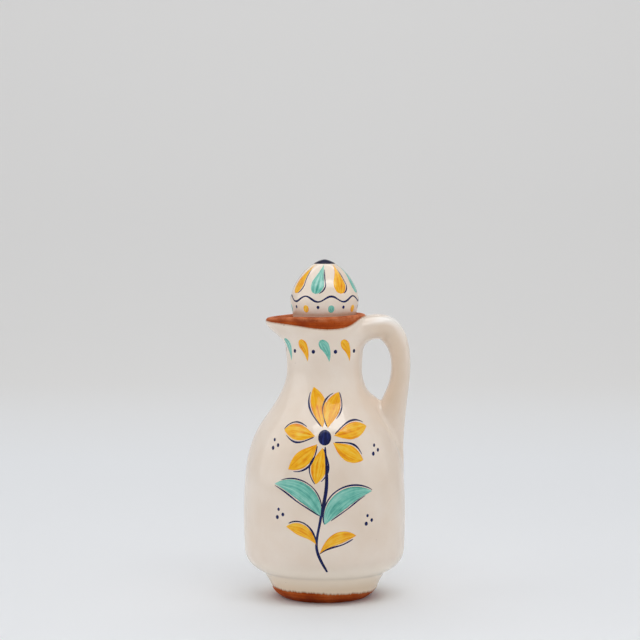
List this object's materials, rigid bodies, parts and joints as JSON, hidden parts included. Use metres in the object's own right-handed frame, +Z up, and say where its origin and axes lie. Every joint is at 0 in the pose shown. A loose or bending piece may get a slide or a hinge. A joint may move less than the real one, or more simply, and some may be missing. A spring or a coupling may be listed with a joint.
{
  "type": "oil carafe",
  "caption": "Glazed earthenware oil carafe with a pulled pouring spout, a strap handle, bare clay at lip and foot, and an onion-shaped stopper seated in the mouth on a cork sleeve.",
  "frame": {"origin": "centre of the flat base, on the axis of the turned body", "axes": "+Z up along the body's axis, -X to the spout, +X to the handle, -Y to the decorated front"},
  "size_m": [0.0991, 0.0962, 0.2002],
  "materials": {
    "red_clay": "bare fired red earthenware, matt, with fine throwing lines",
    "cream_glaze": "glossy cream tin glaze with brushed ochre, teal and cobalt decoration",
    "cork": "natural cork, matt"
  },
  "bodies": {
    "carafe": {"clay_body": "red_clay", "clay_handle": "red_clay", "glaze_coat": "cream_glaze", "glaze_lining": "cream_glaze"},
    "cork": {"stopper_cork": "cork"},
    "knob": {"stopper_knob": "red_clay", "stopper_glaze": "cream_glaze"}
  },
  "joints": [
    {"name": "stopper_lift", "type": "slide", "parent": "carafe", "child": "cork", "axis": [0, 0, 1], "range_m": [0, 0.06]},
    {"name": "stopper_turn", "type": "hinge", "parent": "cork", "child": "knob", "pos_m": [0, 0, 0.1583], "axis": [0, 0, 1], "continuous": true}
  ]
}
